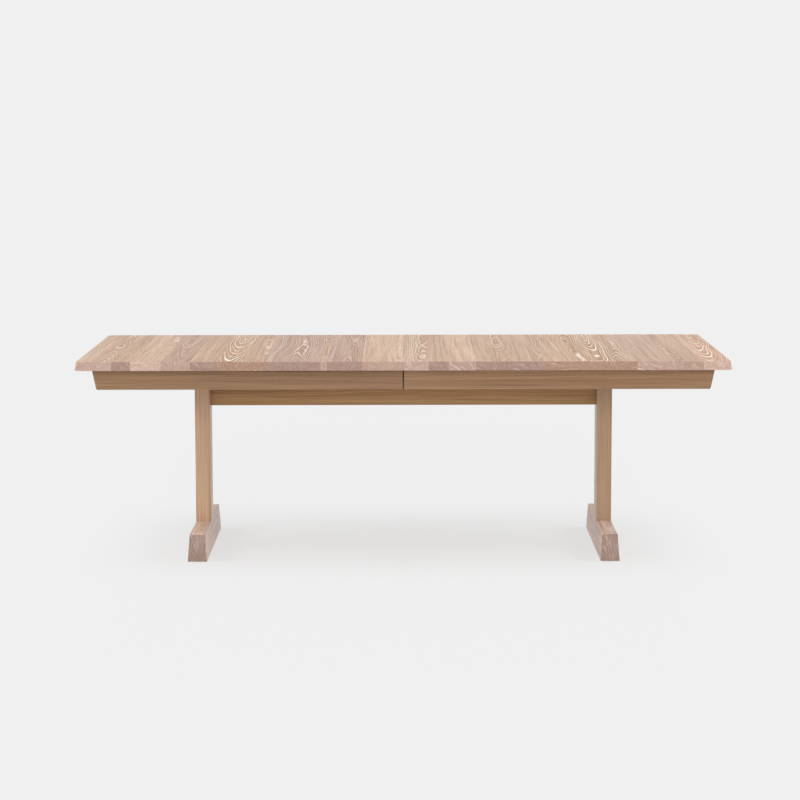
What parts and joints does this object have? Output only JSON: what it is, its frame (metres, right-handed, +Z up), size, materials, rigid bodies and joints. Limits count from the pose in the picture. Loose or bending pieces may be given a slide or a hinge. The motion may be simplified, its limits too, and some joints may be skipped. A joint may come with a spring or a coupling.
{
  "type": "extendable dining table",
  "caption": "Long dining table on two flat posts with long feet; its split top draws apart on rack-and-pinion slides for loose leaves stored under it.",
  "frame": {"origin": "on the floor under the middle of the closed table", "axes": "+X along the table, +Y across it to the back, +Z up"},
  "size_m": [2.31, 1.01, 0.74],
  "materials": {
    "top_oak": "limed oak, matt oil, boards across the table",
    "apron_oak": "oiled oak, matt",
    "trestle_oak": "oiled oak, matt",
    "slide_beech": "waxed beech",
    "zinc_steel": "zinc plated",
    "lock_steel": "black lacquer",
    "pin_brass": "plain turned",
    "felt": "wool felt",
    "glide_nylon": "moulded"
  },
  "bodies": {
    "base": {"back_runner": "slide_beech", "barrel_nuts": "zinc_steel", "coach_screws": "zinc_steel", "connector_bolts": "zinc_steel", "foot_glides": "glide_nylon", "frame_screws": "zinc_steel", "front_runner": "slide_beech", "leaf_felts": "felt", "leaf_pins": "pin_brass", "left_bearer": "slide_beech", "left_foot": "trestle_oak", "left_leaf_rail": "slide_beech", "left_post": "trestle_oak", "lower_leaf": "top_oak", "middle_leaf_rail": "slide_beech", "pinion_pins": "zinc_steel", "pinion_washers": "zinc_steel", "rail_blocks": "slide_beech", "right_bearer": "slide_beech", "right_foot": "trestle_oak", "right_leaf_rail": "slide_beech", "right_post": "trestle_oak", "stop_pins": "zinc_steel", "stretcher_beam": "trestle_oak", "upper_leaf": "top_oak"},
    "left_half": {"left_back_apron": "apron_oak", "left_back_slide": "slide_beech", "left_button_screws": "zinc_steel", "left_buttons": "slide_beech", "left_corner_blocks": "slide_beech", "left_end_apron": "apron_oak", "left_front_apron": "apron_oak", "left_front_slide": "slide_beech", "left_lock_keeper": "lock_steel", "left_lock_plate": "lock_steel", "left_lock_screws": "zinc_steel", "left_racks": "zinc_steel", "left_seam_pins": "pin_brass", "left_slide_screws": "zinc_steel", "left_top": "top_oak"},
    "right_half": {"right_back_apron": "apron_oak", "right_back_slide": "slide_beech", "right_button_screws": "zinc_steel", "right_buttons": "slide_beech", "right_corner_blocks": "slide_beech", "right_end_apron": "apron_oak", "right_front_apron": "apron_oak", "right_front_slide": "slide_beech", "right_lock_keeper": "lock_steel", "right_lock_plate": "lock_steel", "right_lock_screws": "zinc_steel", "right_racks": "zinc_steel", "right_seam_pins": "pin_brass", "right_slide_screws": "zinc_steel", "right_top": "top_oak"},
    "front_pinion": {"front_pinion": "zinc_steel"},
    "back_pinion": {"back_pinion": "zinc_steel"},
    "left_lock": {"left_lock_lever": "lock_steel"},
    "right_lock": {"right_lock_lever": "lock_steel"}
  },
  "joints": [
    {"name": "left_half_slide", "type": "slide", "parent": "base", "child": "left_half", "axis": [-1, 0, 0], "range_m": [0, 0.4]},
    {"name": "right_half_slide", "type": "slide", "parent": "base", "child": "right_half", "axis": [1, 0, 0], "range_m": [0, 0.4]},
    {"name": "front_pinion_turn", "type": "hinge", "parent": "base", "child": "front_pinion", "pos_m": [0, -0.31, 0.692], "axis": [0, 0, 1], "range_deg": [0, 1092]},
    {"name": "back_pinion_turn", "type": "hinge", "parent": "base", "child": "back_pinion", "pos_m": [0, 0.31, 0.692], "axis": [0, 0, 1], "range_deg": [0, 1092]},
    {"name": "left_lock_turn", "type": "hinge", "parent": "left_half", "child": "left_lock", "pos_m": [-0.018, -0.3915, 0.705], "axis": [0, 0, 1], "range_deg": [-32, 0]},
    {"name": "right_lock_turn", "type": "hinge", "parent": "right_half", "child": "right_lock", "pos_m": [0.018, 0.3915, 0.705], "axis": [0, 0, 1], "range_deg": [-32, 0]}
  ],
  "couplings": [
    {"joint": "right_half_slide", "follows": "left_half_slide", "ratio": 1},
    {"joint": "front_pinion_turn", "follows": "left_half_slide", "rad_per_m": 47.619},
    {"joint": "back_pinion_turn", "follows": "left_half_slide", "rad_per_m": 47.619}
  ]
}
